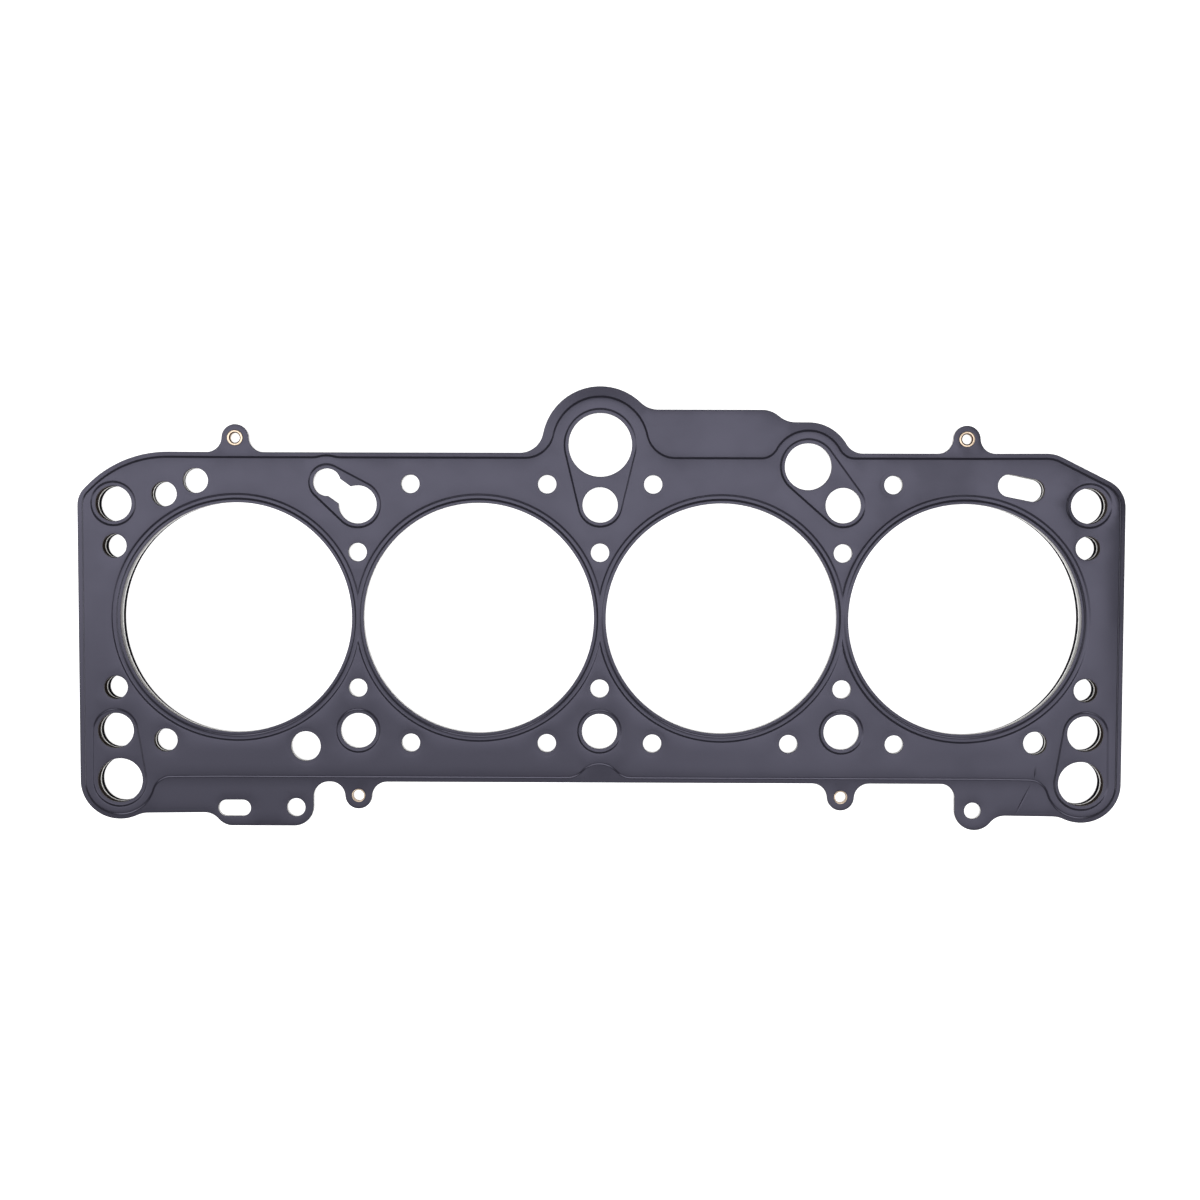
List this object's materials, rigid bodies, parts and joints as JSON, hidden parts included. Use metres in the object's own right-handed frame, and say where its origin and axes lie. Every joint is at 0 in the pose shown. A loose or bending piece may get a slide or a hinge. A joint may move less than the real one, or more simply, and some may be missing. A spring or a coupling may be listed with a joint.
{
  "type": "multi-layer steel cylinder head gasket",
  "caption": "Inline engine head gasket: embossed, rubber coated steel sheets riveted over a steel shim, with cylinder bores, bolt, oil and coolant holes.",
  "frame": {"origin": "middle of the head bolt pattern, halfway through the thickness", "axes": "+X along the row of bores, away from the end with the rounded corner; +Y towards the side with the large oil return boss; +Z along the cylinders, from the block towards the head"},
  "size_m": [0.3776, 0.1609, 0.0069],
  "materials": {
    "coated_sheet": "semi-gloss dark grey nitrile rubber coating on spring steel",
    "shim_steel": "bare rolled stainless sheet with sheared edges",
    "eyelet_brass": "bright rolled brass"
  },
  "bodies": {
    "root": {"upper_layer": "coated_sheet", "centre_shim": "shim_steel", "lower_layer": "coated_sheet", "eyelet_upper_left": "eyelet_brass", "eyelet_upper_right": "eyelet_brass", "eyelet_lower_left": "eyelet_brass", "eyelet_lower_right": "eyelet_brass"}
  },
  "joints": []
}
